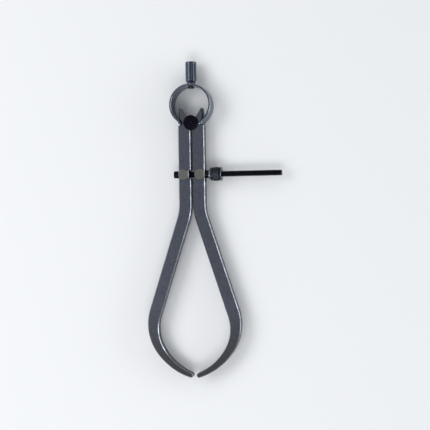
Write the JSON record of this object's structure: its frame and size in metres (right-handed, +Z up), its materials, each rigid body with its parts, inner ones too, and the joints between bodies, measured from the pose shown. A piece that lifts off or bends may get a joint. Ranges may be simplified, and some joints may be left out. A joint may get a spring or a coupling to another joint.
{
  "type": "spring caliper",
  "caption": "Outside spring caliper with bowed legs, round bow spring, knurled grip, adjusting screw and nut.",
  "frame": {"origin": "on the table, under the middle of the whole tool's outline as it lies flat", "axes": "+X along the adjusting screw towards its free end, +Y from the tips towards the grip, +Z up, the side that carries the heads of the studs"},
  "size_m": [0.109, 0.2506, 0.016],
  "materials": {
    "leg_steel": "satin",
    "spring_steel": "satin",
    "roller_steel": "satin",
    "stud_steel": "satin",
    "grip_steel": "satin",
    "screw_black": "satin",
    "collar_steel": "satin",
    "nut_black": "satin"
  },
  "bodies": {
    "frame": {"fulcrum_roller": "roller_steel", "bow_spring": "spring_steel", "finger_grip": "grip_steel", "grip_screw": "stud_steel"},
    "right_leg_body": {"right_leg": "leg_steel"},
    "left_leg_body": {"left_leg": "leg_steel"},
    "screw_body": {"left_stud": "stud_steel", "adjusting_screw": "screw_black"},
    "collar_body": {"right_stud": "stud_steel", "nut_collar": "collar_steel"},
    "nut_body": {"adjusting_nut": "nut_black"}
  },
  "joints": [
    {"name": "right_leg_swing", "type": "hinge", "parent": "frame", "child": "right_leg_body", "pos_m": [-0.01692, 0.0766, 0.008], "axis": [0, 0, 1], "range_deg": [-0.4, 29.5], "deforming": ["bow_spring"]},
    {"name": "left_leg_swing", "type": "hinge", "parent": "frame", "child": "left_leg_body", "pos_m": [-0.01692, 0.0766, 0.008], "axis": [0, 0, 1], "range_deg": [-29.5, 0.4], "deforming": ["bow_spring"]},
    {"name": "left_stud_swivel", "type": "hinge", "parent": "left_leg_body", "child": "screw_body", "pos_m": [-0.02332, 0.0358, 0.008], "axis": [0, 0, 1], "range_deg": [-0.4, 29.5]},
    {"name": "right_stud_swivel", "type": "hinge", "parent": "right_leg_body", "child": "collar_body", "pos_m": [-0.01052, 0.0358, 0.008], "axis": [0, 0, 1], "range_deg": [-29.5, 0.4]},
    {"name": "nut_turn", "type": "hinge", "parent": "collar_body", "child": "nut_body", "pos_m": [0.00244, 0.0358, 0.008], "axis": [1, 0, 0], "range_deg": [-236, 17336]}
  ],
  "couplings": [
    {"joint": "left_leg_swing", "follows": "right_leg_swing", "ratio": -1},
    {"joint": "left_stud_swivel", "follows": "right_leg_swing", "ratio": 1},
    {"joint": "right_stud_swivel", "follows": "right_leg_swing", "ratio": -1},
    {"joint": "nut_turn", "follows": "right_leg_swing", "ratio": 587.63}
  ]
}
